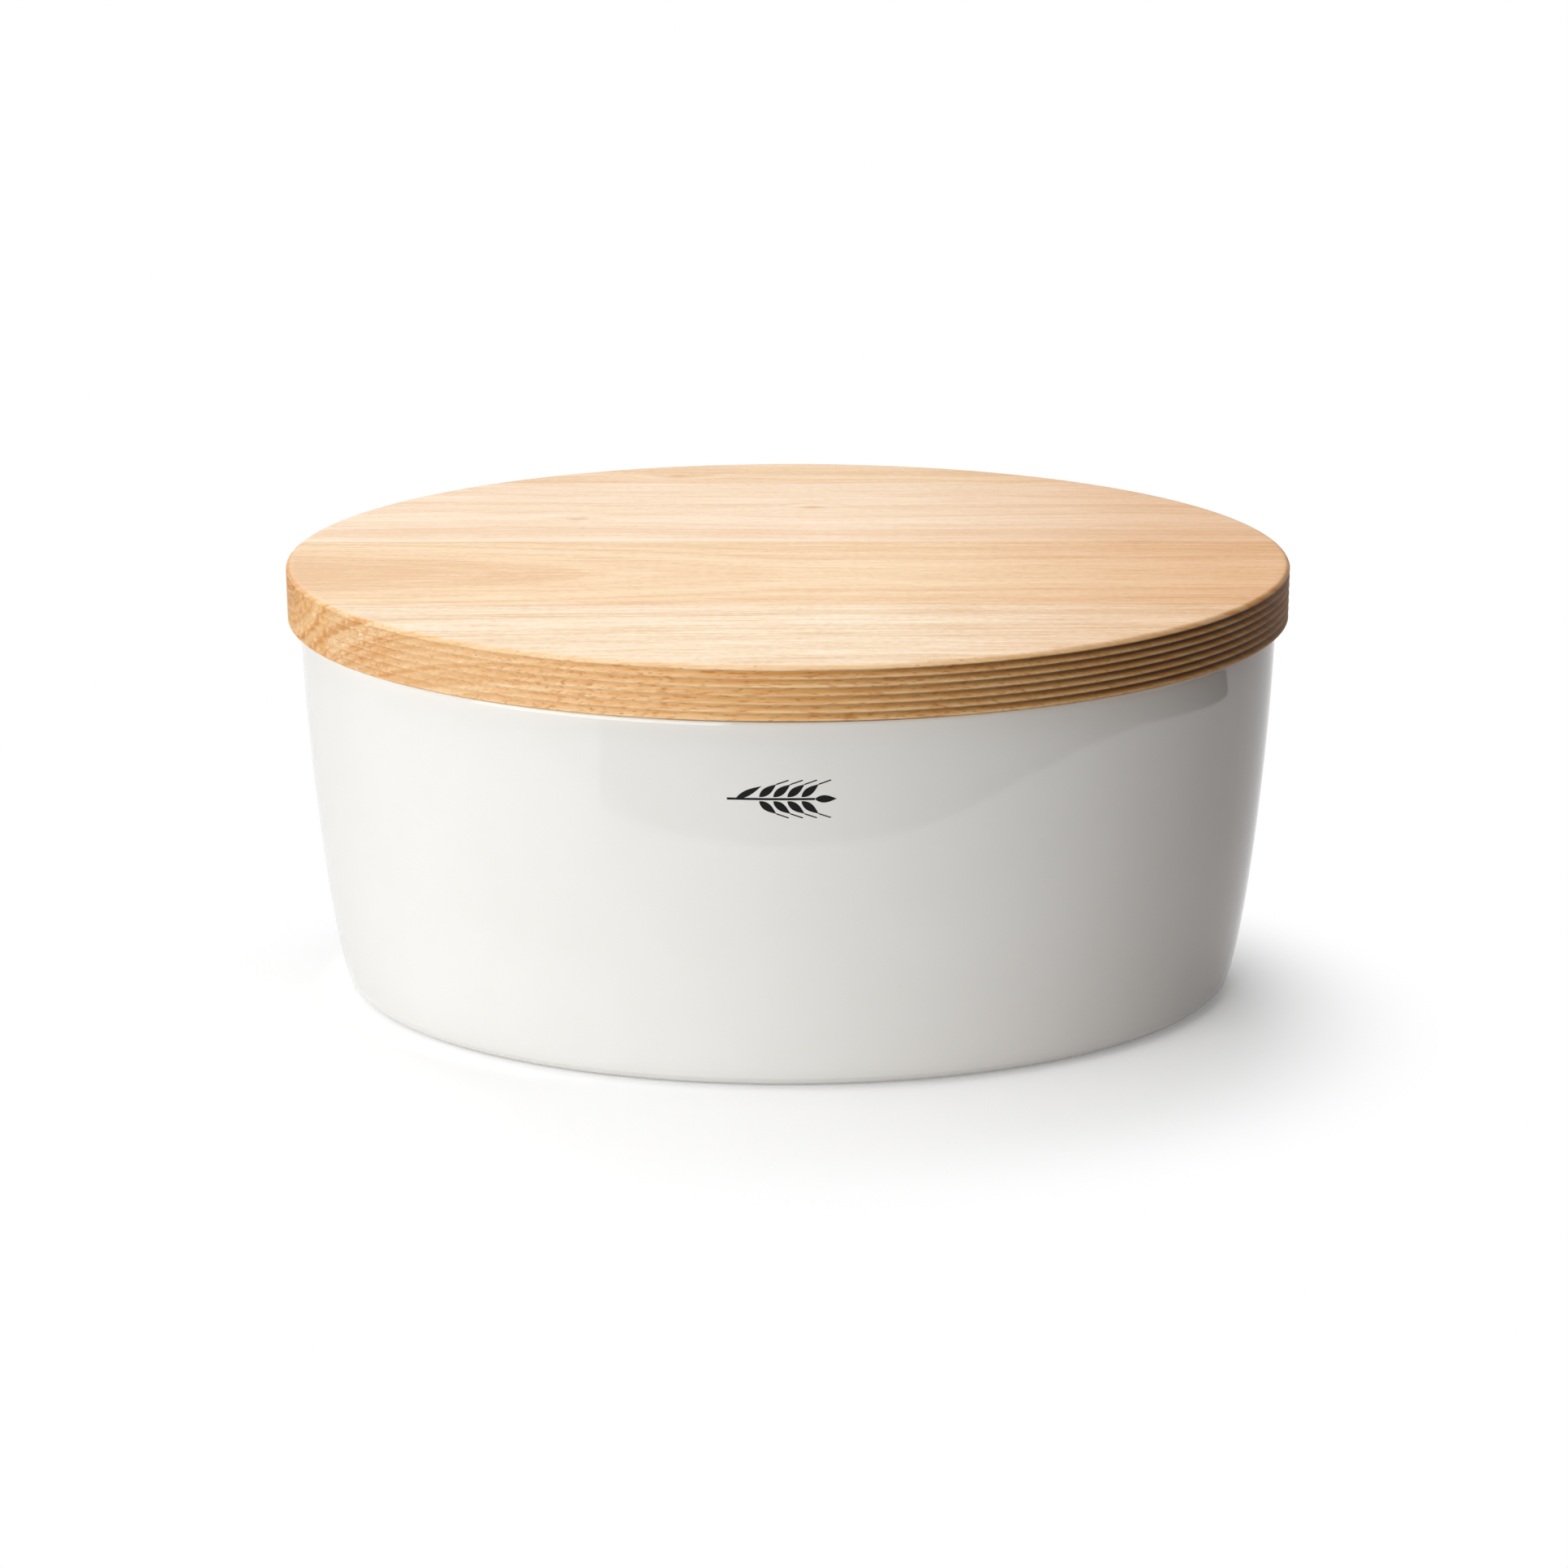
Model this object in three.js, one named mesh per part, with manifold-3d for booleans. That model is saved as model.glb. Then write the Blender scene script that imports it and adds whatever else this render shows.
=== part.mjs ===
// Oval bread crock: a slip-cast, glazed stoneware bowl under a thick board lid.
// The lid is glued up from four rubberwood staves, fluted round its edge for grip,
// and rebated underneath so that a shallow plug drops into the bowl's mouth.
// Millimetres, +Z up, +X along the oval, -Y to the front. The origin is the middle of the foot.

import * as THREE from "three";
import { mergeVertices } from "three/addons/utils/BufferGeometryUtils.js";
import Module from "manifold-3d";

// Driving dimensions of the oval and of the two parts that come apart.
const LID_LENGTH = 360;
const LID_WIDTH = 250;
const LID_THICKNESS = 20;
const LID_OVERHANG = 4.5;
const CROCK_HEIGHT = 141.7;
const SEAT_GAP = 0.3;

// Outside of the bowl: insets from the rim's outline, and heights above the foot.
const WALL_BOW_UPPER = { inset: 0, height: 104 };
const WALL_BOW_LOWER = { inset: 6.1, height: 25.6 };
const HEEL_TOP = { inset: 12.7, height: 5 };
const HEEL_CORNER = { inset: 16.5, height: 0.35 };
const FOOT_OUTSIDE = 20;
const FOOT_LIP = 0.3;
const FOOT_CHAMFER = 0.3;
const FOOT_WIDTH = 6;
const FOOT_RECESS = 2.5;

// Inside of the bowl, down the wall and round a fillet to the flat floor.
const WALL = 6;
const INNER_BOW_UPPER = { inset: 6, height: 110 };
const INNER_BOW_LOWER = { inset: 10.3, height: 52 };
const FILLET_TOP = { inset: 15.8, height: 20 };
const FLOOR_CORNER = { inset: 17.8, height: 8 };
const FLOOR_EDGE = { inset: 28, height: 8 };

// Lid edge: a rounded top arris over a stack of shallow concave flutes.
const FLUTE_COUNT = 6;
const FLUTE_DEPTH = 0.8;
const TOP_ROUND = 1.5;
const LOWER_ARRIS = 0.6;

// Plug left standing by the rebate on the lid's underside.
const PLUG_DEPTH = 8;
const PLUG_CLEARANCE = 1.5;
const PLUG_CHAMFER = 1.5;

// Glue joints between the staves, as distances across the lid, and the thickness of the glue film.
const STAVE_JOINTS = [-57, 20, 97];
const GLUE_FILM = 0.3;
const STAVES = [
  { name: "lid_stave_front", color: 0xecc695 },
  { name: "lid_stave_middle_front", color: 0xe0b27d },
  { name: "lid_stave_middle_back", color: 0xe6bc88 },
  { name: "lid_stave_back", color: 0xdcae7a },
];

// Facets: steps round the oval, and steps along each curve of a profile.
const OVAL_STEPS = 72;
const WALL_STEPS = 6;
const FLUTE_STEPS = 4;

const RIM_LENGTH = LID_LENGTH - 2 * LID_OVERHANG;
const RIM_WIDTH = LID_WIDTH - 2 * LID_OVERHANG;

const wasm = await Module();
wasm.setup();

// One closed skin round an oval: each profile point is an inset from the oval and a height,
// listed from the lower cap, up the outside, to the upper cap. Both caps are flat.
function ovalLoft(profile, length, width) {
  const positions = [];
  const triangles = [];
  for (const { x: inset, y: height } of profile) {
    for (let step = 0; step < OVAL_STEPS; step++) {
      const angle = (2 * Math.PI * step) / OVAL_STEPS;
      positions.push((length / 2 - inset) * Math.cos(angle));
      positions.push((width / 2 - inset) * Math.sin(angle));
      positions.push(height);
    }
  }
  const lowerCentre = positions.length / 3;
  const upperCentre = lowerCentre + 1;
  const lastRing = (profile.length - 1) * OVAL_STEPS;
  positions.push(0, 0, profile[0].y, 0, 0, profile[profile.length - 1].y);
  for (let step = 0; step < OVAL_STEPS; step++) {
    const next = (step + 1) % OVAL_STEPS;
    for (let ring = 0; ring < lastRing; ring += OVAL_STEPS) {
      const above = ring + OVAL_STEPS;
      triangles.push(ring + step, ring + next, above + next);
      triangles.push(ring + step, above + next, above + step);
    }
    triangles.push(lowerCentre, next, step);
    triangles.push(upperCentre, lastRing + step, lastRing + next);
  }
  return bufferGeometry(new Float32Array(positions), new Uint32Array(triangles));
}

function bufferGeometry(positions, triangles) {
  const geometry = new THREE.BufferGeometry();
  geometry.setAttribute("position", new THREE.BufferAttribute(positions, 3));
  geometry.setIndex(new THREE.BufferAttribute(triangles, 1));
  geometry.computeVertexNormals();
  return geometry;
}

// Boolean solids come from closed geometry whose shared corners are merged.
function solidFrom(geometry) {
  const bare = geometry.clone();
  bare.deleteAttribute("normal");
  bare.deleteAttribute("uv");
  const merged = mergeVertices(bare);
  const vertProperties = new Float32Array(merged.attributes.position.array);
  const triVerts = new Uint32Array(merged.index.array);
  return new wasm.Manifold(new wasm.Mesh({ numProp: 3, vertProperties, triVerts }));
}

function geometryFrom(solid) {
  const { vertProperties, triVerts } = solid.getMesh();
  return bufferGeometry(new Float32Array(vertProperties), new Uint32Array(triVerts));
}

// Section of the bowl, from the recess inside the foot ring to the edge of the floor.
function crockProfile() {
  const footInside = FOOT_OUTSIDE + FOOT_WIDTH;
  const lip = WALL / 2;

  const section = new THREE.Path();
  section.moveTo(footInside + FOOT_RECESS, FOOT_RECESS);
  section.lineTo(footInside, 0);
  section.lineTo(FOOT_OUTSIDE + FOOT_CHAMFER, 0);
  section.lineTo(FOOT_OUTSIDE, FOOT_LIP);
  section.quadraticCurveTo(HEEL_CORNER.inset, HEEL_CORNER.height, HEEL_TOP.inset, HEEL_TOP.height);
  section.bezierCurveTo(
    WALL_BOW_LOWER.inset, WALL_BOW_LOWER.height,
    WALL_BOW_UPPER.inset, WALL_BOW_UPPER.height,
    0, CROCK_HEIGHT - lip,
  );
  section.quadraticCurveTo(0, CROCK_HEIGHT, lip, CROCK_HEIGHT);
  section.quadraticCurveTo(WALL, CROCK_HEIGHT, WALL, CROCK_HEIGHT - lip);
  section.bezierCurveTo(
    INNER_BOW_UPPER.inset, INNER_BOW_UPPER.height,
    INNER_BOW_LOWER.inset, INNER_BOW_LOWER.height,
    FILLET_TOP.inset, FILLET_TOP.height,
  );
  section.quadraticCurveTo(FLOOR_CORNER.inset, FLOOR_CORNER.height, FLOOR_EDGE.inset, FLOOR_EDGE.height);
  return section.getPoints(WALL_STEPS);
}

// Section of the lid, from the edge of the plug's underside to the edge of the top face.
// Heights are above the seat, where the rebate rests on the rim.
function lidProfile() {
  const plugSide = LID_OVERHANG + WALL + PLUG_CLEARANCE;
  const flutesTop = LID_THICKNESS - TOP_ROUND;
  const flutePitch = (flutesTop - LOWER_ARRIS) / FLUTE_COUNT;

  const section = new THREE.Path();
  section.moveTo(plugSide + PLUG_CHAMFER, -PLUG_DEPTH);
  section.lineTo(plugSide, PLUG_CHAMFER - PLUG_DEPTH);
  section.lineTo(plugSide, 0);
  section.lineTo(LOWER_ARRIS, 0);
  section.lineTo(0, LOWER_ARRIS);
  for (let flute = 0; flute < FLUTE_COUNT; flute++) {
    const foot = LOWER_ARRIS + flute * flutePitch;
    section.quadraticCurveTo(2 * FLUTE_DEPTH, foot + flutePitch / 2, 0, foot + flutePitch);
  }
  section.quadraticCurveTo(0, LID_THICKNESS, TOP_ROUND, LID_THICKNESS);
  return section.getPoints(FLUTE_STEPS);
}

function crockBody() {
  const glaze = new THREE.MeshStandardMaterial({ color: 0xeeece8, roughness: 0.12, metalness: 0 });
  const body = new THREE.Mesh(ovalLoft(crockProfile(), RIM_LENGTH, RIM_WIDTH), glaze);
  body.name = "crock_body";
  return body;
}

// The board is shaped whole, as on a spindle moulder, and then parted at the glue joints.
function lidStaves() {
  const board = solidFrom(ovalLoft(lidProfile(), LID_LENGTH, LID_WIDTH));
  const height = 2 * (LID_THICKNESS + PLUG_DEPTH);
  const outside = LID_WIDTH / 2 + GLUE_FILM;
  const joints = [-outside, ...STAVE_JOINTS, outside];
  return STAVES.map(({ name, color }, index) => {
    const near = joints[index] + GLUE_FILM / 2;
    const far = joints[index + 1] - GLUE_FILM / 2;
    const strip = new THREE.BoxGeometry(LID_LENGTH + WALL, far - near, height);
    strip.translate(0, (near + far) / 2, 0);
    const wood = new THREE.MeshStandardMaterial({ color, roughness: 0.55, metalness: 0 });
    const stave = new THREE.Mesh(geometryFrom(board.intersect(solidFrom(strip))), wood);
    stave.name = name;
    return stave;
  });
}

const crock = new THREE.Group();
crock.add(crockBody());

const lid = new THREE.Group();
lid.position.z = CROCK_HEIGHT + SEAT_GAP;
lid.add(...lidStaves());

const breadCrock = new THREE.Group();
breadCrock.add(crock, lid);

export default breadCrock;
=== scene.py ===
"""Looks of an oval bread crock: a white glazed stoneware bowl under an oiled rubberwood board lid.

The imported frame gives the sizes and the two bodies, crock and lid. Each of its nodes is stood for by a finer
mesh made from the same section, and each material is worked out in millimetres from how the real one is made.
"""

import math
from functools import cache
from types import SimpleNamespace

import bmesh
import bpy
import numpy as np
from mathutils import Matrix, Vector, noise


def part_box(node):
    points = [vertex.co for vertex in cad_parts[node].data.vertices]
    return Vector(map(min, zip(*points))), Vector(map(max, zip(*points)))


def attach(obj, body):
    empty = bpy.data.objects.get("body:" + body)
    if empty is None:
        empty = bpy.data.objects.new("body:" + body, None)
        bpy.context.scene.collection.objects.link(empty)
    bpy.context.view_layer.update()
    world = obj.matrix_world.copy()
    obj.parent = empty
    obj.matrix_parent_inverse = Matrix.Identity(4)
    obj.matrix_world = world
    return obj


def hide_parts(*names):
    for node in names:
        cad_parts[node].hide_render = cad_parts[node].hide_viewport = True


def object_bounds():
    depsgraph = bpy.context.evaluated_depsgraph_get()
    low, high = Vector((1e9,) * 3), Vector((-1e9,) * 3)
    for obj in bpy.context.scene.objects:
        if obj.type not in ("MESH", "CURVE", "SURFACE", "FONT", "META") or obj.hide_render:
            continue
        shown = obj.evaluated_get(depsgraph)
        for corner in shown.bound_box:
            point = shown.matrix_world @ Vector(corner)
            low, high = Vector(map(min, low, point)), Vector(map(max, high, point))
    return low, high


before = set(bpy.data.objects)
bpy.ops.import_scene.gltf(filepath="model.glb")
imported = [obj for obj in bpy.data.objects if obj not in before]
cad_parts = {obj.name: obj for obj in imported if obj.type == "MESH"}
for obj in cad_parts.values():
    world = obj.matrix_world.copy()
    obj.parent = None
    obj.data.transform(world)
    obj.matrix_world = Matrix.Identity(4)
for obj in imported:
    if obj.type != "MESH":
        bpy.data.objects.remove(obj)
cad_low, cad_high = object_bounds()

MM = 0.001

# Sizes that the frame gives, in millimetres. The lid is the widest piece, so it fills the box.
LID_LENGTH = (cad_high.x - cad_low.x) / MM
LID_WIDTH = (cad_high.y - cad_low.y) / MM
LID_TOP = cad_high.z / MM
RIM_LENGTH, RIM_WIDTH, CROCK_HEIGHT = (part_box("crock_body")[1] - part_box("crock_body")[0]) / MM

# Bowl section: insets from the rim's outline, and heights above the foot.
WALL = 6.0
WALL_BOW_UPPER = (0.0, 104.0)
WALL_BOW_LOWER = (6.1, 25.6)
HEEL_TOP = (12.7, 5.0)
HEEL_CORNER = (16.5, 0.35)
FOOT_OUTSIDE = 20.0
FOOT_LIP = 0.3
FOOT_CHAMFER = 0.3
FOOT_WIDTH = 6.0
FOOT_RECESS = 2.5
INNER_BOW_UPPER = (6.0, 110.0)
INNER_BOW_LOWER = (10.3, 52.0)
FILLET_TOP = (15.8, 20.0)
FLOOR_CORNER = (17.8, 8.0)
FLOOR_EDGE = (28.0, 8.0)

# Lid section: a rounded top arris over concave flutes with blunt crests, and a plug below the seat.
LID_THICKNESS = 20.0
LID_OVERHANG = (LID_LENGTH - RIM_LENGTH) / 2
FLUTE_COUNT = 6
FLUTE_DEPTH = 0.8
FLUTE_CREST = 0.1
TOP_ROUND = 1.5
TOP_CROWN = 0.4
LOWER_ARRIS = 0.6
PLUG_DEPTH = 8.0
PLUG_CLEARANCE = 1.5
PLUG_CHAMFER = 1.5
FLUTE_PITCH = (LID_THICKNESS - TOP_ROUND - LOWER_ARRIS) / FLUTE_COUNT

# The glue film is far thinner than the room that the solids leave for it.
GLUE_ROOM = 0.3
GLUE_FILM = 0.04

# The flutes run out at the left end, in crumbling steps: where they run out and where they start to crumble,
# as shares of the half length of the lid, how far in front of its middle line the crumbs are at their
# deepest, how long and how deep a crumb is, and how far the steps scatter, as such a share too.
RUN_OUT_SPAN = (0.82, 0.9)
CRUMB_SPAN = (0.7, 0.78)
CRUMB_FRONT = LID_WIDTH / 4
CRUMB_LENGTH = 3.2
CRUMB_DEPTH = 0.6
CRUMB_SCATTER = 0.2

# Place of the crumbs in the noise that sizes them: how far apart the crests lie in it, and its layer.
CRUMB_SHIFT = 7.3
CRUMB_LAYER = 0.5

# Ear of wheat printed on the front: its middle along the wall and up it, and its strokes.
EAR_PLACE = (-2.0, 113.0)
EAR_LENGTH = 37.0
STALK_LENGTH = 30.0
STALK_WIDTH = 0.8
LEAF_START = 3.0
LEAF_ANGLE = math.radians(28)
LEAF_LENGTH = 10.0
LEAF_WIDTH = 2.2
GRAIN_PAIRS = 4
FIRST_GRAIN = 11.0
GRAIN_SPACING = 4.8
GRAIN_ANGLE = math.radians(38)
GRAIN_LENGTH = 7.4
GRAIN_WIDTH = 2.7
AWN_ANGLE = math.radians(20)
AWN_LENGTH = 4.5
AWN_WIDTH = 0.45
PRINT_FILM = 0.03
BLADE_STEPS = 12
BLADE_FULLNESS = 0.8
BLADE_TIP = 0.08

# Fineness of the meshes: steps round the ovals and along one curve of a section, the width of the border
# ring on a flat face, and the angle from which an edge stays sharp.
CROCK_STEPS = 288
LID_STEPS = 1080
WALL_STEPS = 22
ROUND_STEPS = 7
FLUTE_STEPS = 9
FLAT_BORDER = 1.2
SHARP_ANGLE = math.radians(50)

# Glaze, enamel and oil bend light about alike.
GLOSS_IOR = 1.5

# Glaze: its two whites and the size of their clouds, then its slow waves and orange peel with their depths.
GLAZE_WHITES = ("#F0EFEC", "#EBE9E4")
GLAZE_CLOUD = 45.0
GLAZE_WAVE = 16.0
WAVE_DEPTH = 0.05
GLAZE_PEEL = 2.2
PEEL_DEPTH = 0.004
GLAZE_ROUGHNESS = 0.05

# The glaze runs thin over the lip: how far down from the rim, how much, and the colour that comes through.
LIP_DROP = 1.4
LIP_SHARE = 0.55
LIP_CREAM = "#DDD5C6"

# The foot ring is bare clay up to the first height and glazed from the second. Then its buffs and its grit.
BARE_SPAN = (0.3, 0.6)
CLAY_BUFFS = ("#C6A998", "#DBC6B7")
CLAY_GRIT = 0.7
CLAY_ROUGHNESS = 0.8

# Printed enamel: its blacks, the size of its uneven spots, and their depth.
ENAMEL_BLACKS = ("#0F0F0E", "#1C1B1A")
ENAMEL_SPOT = 0.6
ENAMEL_DEPTH = 0.006
ENAMEL_ROUGHNESS = (0.3, 0.5)
ENAMEL_SPECULAR = 0.2

# Staves from the front of the lid to the back: growth colours, pith across and up in millimetres,
# how the pith climbs along the stave, how far the growth bands sway, the radius of the darker heart,
# and the eyes of small knots.
STAVES = {
    "lid_stave_front": dict(
        pale="#FDEBD2", tan="#E6C299", pith=(-135.0, 55.0), rise=0.03, sway=1.5, heart=0.0, eyes=(),
    ),
    "lid_stave_middle_front": dict(
        pale="#F9DCB7", tan="#E6BC90", pith=(-20.0, 198.2), rise=0.1, sway=1.5, heart=30.0, eyes=(),
    ),
    "lid_stave_middle_back": dict(
        pale="#FBE4CA", tan="#EDCAA5", pith=(140.0, 60.0), rise=0.015, sway=7.0, heart=0.0,
        eyes=((9.0, 64.0), (-78.0, 49.0)),
    ),
    "lid_stave_back": dict(
        pale="#F7DAB7", tan="#E6BF94", pith=(60.0, 95.0), rise=-0.03, sway=6.0, heart=0.0,
        eyes=((-42.0, 107.0),),
    ),
}

# The pith climbs along a stave up to here, and runs level from here to the right.
PITH_LEVEL_FROM = 0.0

# Growth bands: the sizes along and across the stave over which they wander, the widths of broad and fine
# ones, the share of the fine ones, and the part of the noise that runs from pale to tan.
RING_WANDER = (150.0, 40.0, 40.0)
BROAD_BAND = 11.0
FINE_BAND = 3.0
FINE_SHARE = 0.45
FIGURE_SPAN = (0.385, 0.615)

# The heart is darker by a share of the step from pale to tan, with a soft edge.
HEART_SHARE = 0.42
HEART_EDGE = 2.5

# Knots: how far the bands swell round one along, across and down, by how much, where its brown spot ends as
# shares of that reach, and how brown it is.
KNOT_REACH = (20.0, 9.0, 30.0)
KNOT_SWELL = 5.0
KNOT_SPOT = (0.05, 0.3)
KNOT_SHARE = 0.42
KNOT_BROWN = "#D3924E"

# Bundles of fibre and flecks of ray cells, both along and across the stave. Real fibres are a few hundredths
# of a millimetre wide, and rays less than a millimetre high, so both are coarsened to what shows. The flecks
# move the tone by a share of the step from pale to tan.
FIBRE_BUNDLE = (38.0, 1.5, 1.5)
RAY_FLECK = (3.2, 2.0, 2.0)
FLECK_DEPTH = 0.42

# How level a face is, as the height of its unit normal, tells the cut edge from the flat faces. How far the
# normal points along the stave tells a cut along the grain from end grain. The bundles have a share in each
# of the two, and keep a small share of their relief on end grain.
EDGE_TILT = (0.72, 0.97)
ACROSS_GRAIN = (0.2, 0.65)
BUNDLE_SHARE = (0.5, 0.1)
END_RELIEF = 0.1

# The oil evens out the figure on the cut edge, towards a middle tone.
EDGE_CALM = 0.25
CALM_TONE = 0.45

# Tints of the oil, and of painted shade: on the top, where painted shade of the light falling off darkens it
# to the right over the oil's tone; on the pale and tan wood of the edge; on the crests and in the hollows of
# the flutes, where the darker hollows are painted shade with some pooled oil; and on end grain.
TOP_OIL_AND_SHADE = "#F1DFCF"
EDGE_OILS = ("#FFFEF8", "#FDF0DA")
POOL_OIL_AND_SHADE = ("#FAEFDC", "#FFE2B4")
END_OIL = "#EFDDBF"

# The runs along the lid over which the top and the flutes of the edge grow darker towards the right: painted
# shade where the light falls off, over the oil's tone.
TOP_OIL_AND_SHADE_SPAN = (10.0, 170.0)
EDGE_OIL_AND_SHADE_SPAN = (-150.0, 0.0)

# The hollows of the flutes are darker than their crests, painted shade with some pooled oil: where that starts
# and is deepest, as shares of the pitch. The round above the flutes keeps a small share of what marks the
# flutes, from a little above the last crest.
POOL_OIL_AND_SHADE_SPAN = (0.08, 0.28)
ROUND_SHARE = 0.2
ROUND_RISE = 0.1

# Painted shade in the flutes, darkest in the hollow under each crest and towards the right end, where the
# light doesn't reach: where it sets in, the run along the lid over which it grows, its least share of that,
# how dark it is on a crest and in the hollow under one, and where in a flute each of them lies.
FLUTE_SHADE_START = (-162.0, -135.0)
FLUTE_SHADE_SPAN = (-60.0, 145.0)
FLUTE_SHADE_LEAST = 0.03
FLUTE_SHADE_CREST = 0.36
FLUTE_SHADE_HOLLOW = 0.98
HOLLOW_SPAN = (0.05, 0.7)
CREST_SPAN = (0.88, 0.97)
FLUTE_SHADE_BROWN = "#4A3826"

# Painted shadow along the lower arris of the lid, where the gap under it lies in shade: how far up it reaches,
# how dark it is, where it comes up from the left, and where it fades out to the right.
ARRIS_SHADOW_TOP = 0.3
ARRIS_SHADOW_DARKNESS = 0.9
ARRIS_SHADOW_SPAN = (-70.0, 0.0)
ARRIS_SHADOW_END = (15.0, 70.0)
ARRIS_SHADOW_BROWN = "#4A3421"

# Growth rings on end grain: the part of the fine bands that they take up, how dark they are, and how quickly
# they go as a cut turns along the grain.
END_RING_SPAN = (0.46, 0.62)
END_RING_SHARE = 0.5
END_RING_FALL = 3.0
END_RING_BROWN = "#CB9D6C"

# Chips torn out where the flutes crumble: their length along the lid, the gap between them, how far they
# scatter along and up it, how much they show, and their colours.
CHIP_LENGTH = 3.0
CHIP_GAP = 0.4
CHIP_SCATTER = 6.0
CHIP_RISE = 1.5
CHIP_SHARE = 0.5
CHIP_TINTS = ("#FFFFFF", "#FBEAD2")
CHIP_GAP_TINT = "#DDB07A"

# Vessels, along and across the stave: the bores that show as pores, and those laid open lengthways as
# dashes. Real ones are about a fifth of a millimetre wide, so they are coarsened to what shows.
VESSEL_SIZE = (5.0, 1.2, 1.2)
BORE_SPAN = (0.12, 0.25)
FLAT_PORE = 0.2
EDGE_PORE = 0.55
PORE_BROWN = "#935C2A"
PORE_DEPTH = 0.08
DASH_SIZE = (6.0, 0.9, 0.9)
DASH_SPAN = (0.53, 0.68)
DASH_SHARE = 0.55
DASH_BROWN = "#CE9A60"

# Satin of the oiled wood, and the relief of its fibres.
WOOD_ROUGHNESS = (0.38, 0.6)
WOOD_SPECULAR = 0.15
FIBRE_DEPTH = 0.06

# Photographed view: camera distance, angles and roll, the point that it looks at, its sensor and its lens.
CAMERA_DISTANCE = 1650.0
CAMERA_ELEVATION = math.radians(19.755)
CAMERA_AZIMUTH = math.radians(0.26)
CAMERA_ROLL = math.radians(-0.144)
CAMERA_TARGET = Vector((-1.56, 0.0, 75.44))
SENSOR_WIDTH = 36.0
LENS = 103.55

# Softboxes: degrees round to the right of the front and up, distance and size in mm, power in watts.
LAMP_TARGET = Vector((0.0, 0.0, 80.0))
LAMPS = {
    "key_left": dict(azimuth=-34, elevation=10, distance=1600, size=1400, power=23.3),
    "high_left": dict(azimuth=-10, elevation=80, distance=850, size=760, power=4.2),
    "back_left": dict(azimuth=-160, elevation=40, distance=1600, size=1400, power=8.6),
}

# Light of the room on the crock, from its left and its right. A strength of 1 is white.
WHITE = "#FFFFFF"
AMBIENT_LEFT = 0.27
AMBIENT_RIGHT = 0.04

# Table top: half its side, its white as it is seen, and how far a glow lifts that.
FLOOR_HALF = 4000.0
FLOOR_WHITE = "#F2F2F2"
FLOOR_GLOW = 0.18

# What the table throws back on the crock, and the run along it over which that changes from left to right.
FLOOR_BOUNCE_LEFT = "#E6E6E6"
FLOOR_BOUNCE_RIGHT = "#97867F"
FLOOR_DIM_SPAN = (-80.0, 340.0)

# The shadow goes over into plain white round this point, between these multiples of the lid's size.
SHADOW_MIDDLE = (0.0, -44.0, 0.0)
SHADOW_REACH = (0.85, 1.35)

# The table is seen paler beside the heel at the left, a painted light on the contact shadow there: by how
# much, the run along it over which that fades out, and where it starts and ends, as multiples of the foot's
# size.
HEEL_GLOW_LEFT = 0.22
HEEL_GLOW_SPAN = (-135.0, 50.0)
HEEL_GLOW_START = (1.0, 1.03)
HEEL_GLOW_END = (1.03, 1.14)

# Dark card on the table, in front of the crock and to its right, as corners: the left end of its inner edge,
# the rounded corner, the right end, and the far corners. Then its height above the table and its brightness.
CARD_LEFT_END = (-187.0, -298.0)
CARD_CORNER_START = (200.0, -298.0)
CARD_CORNER = (440.0, -292.0)
CARD_CORNER_END = (480.0, -60.0)
CARD_RIGHT_END = (490.0, 60.0)
CARD_FAR = ((1500.0, 180.0), (1500.0, -1500.0), (-893.0, -1500.0))
CARD_LIFT = 0.5
CARD_LEVEL = 0.1
CARD_STEPS = 12


# Shapes


def bezier(*points, steps):
    """Points along one curve after its first control point, by repeated halving between control points."""
    share = np.linspace(0, 1, steps + 1)[1:, None]
    layers = [np.array([point], float) for point in points]
    while len(layers) > 1:
        layers = [(1 - share) * first + share * second for first, second in zip(layers, layers[1:])]
    return layers[0]


@cache
def outer_wall():
    """Rows of inset and height up the outside of the bowl, from the heel to the foot of the lip."""
    return bezier(HEEL_TOP, WALL_BOW_LOWER, WALL_BOW_UPPER, (0, CROCK_HEIGHT - WALL / 2), steps=WALL_STEPS)


def crock_section():
    """Rows of inset and height: from the underside, up the outside, over the lip, down to the floor."""
    foot_inside = FOOT_OUTSIDE + FOOT_WIDTH
    recess_edge = foot_inside + FOOT_RECESS
    foot_edge = FOOT_OUTSIDE + FOOT_CHAMFER
    lip = WALL / 2
    rim_foot = CROCK_HEIGHT - lip
    return np.concatenate([
        [(recess_edge + FLAT_BORDER, FOOT_RECESS)],
        [(recess_edge, FOOT_RECESS)],
        bezier((recess_edge, FOOT_RECESS), (foot_inside, FOOT_RECESS), (foot_inside, 0), steps=ROUND_STEPS),
        [(foot_edge, 0)],
        bezier((foot_edge, 0), (FOOT_OUTSIDE, 0), (FOOT_OUTSIDE, FOOT_LIP), steps=ROUND_STEPS),
        bezier((FOOT_OUTSIDE, FOOT_LIP), HEEL_CORNER, HEEL_TOP, steps=WALL_STEPS),
        outer_wall(),
        bezier((0, rim_foot), (0, CROCK_HEIGHT), (lip, CROCK_HEIGHT), steps=ROUND_STEPS),
        bezier((lip, CROCK_HEIGHT), (WALL, CROCK_HEIGHT), (WALL, rim_foot), steps=ROUND_STEPS),
        bezier((WALL, rim_foot), INNER_BOW_UPPER, INNER_BOW_LOWER, FILLET_TOP, steps=WALL_STEPS),
        bezier(FILLET_TOP, FLOOR_CORNER, FLOOR_EDGE, steps=WALL_STEPS),
        [(FLOOR_EDGE[0] + FLAT_BORDER, FLOOR_EDGE[1])],
    ])


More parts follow.
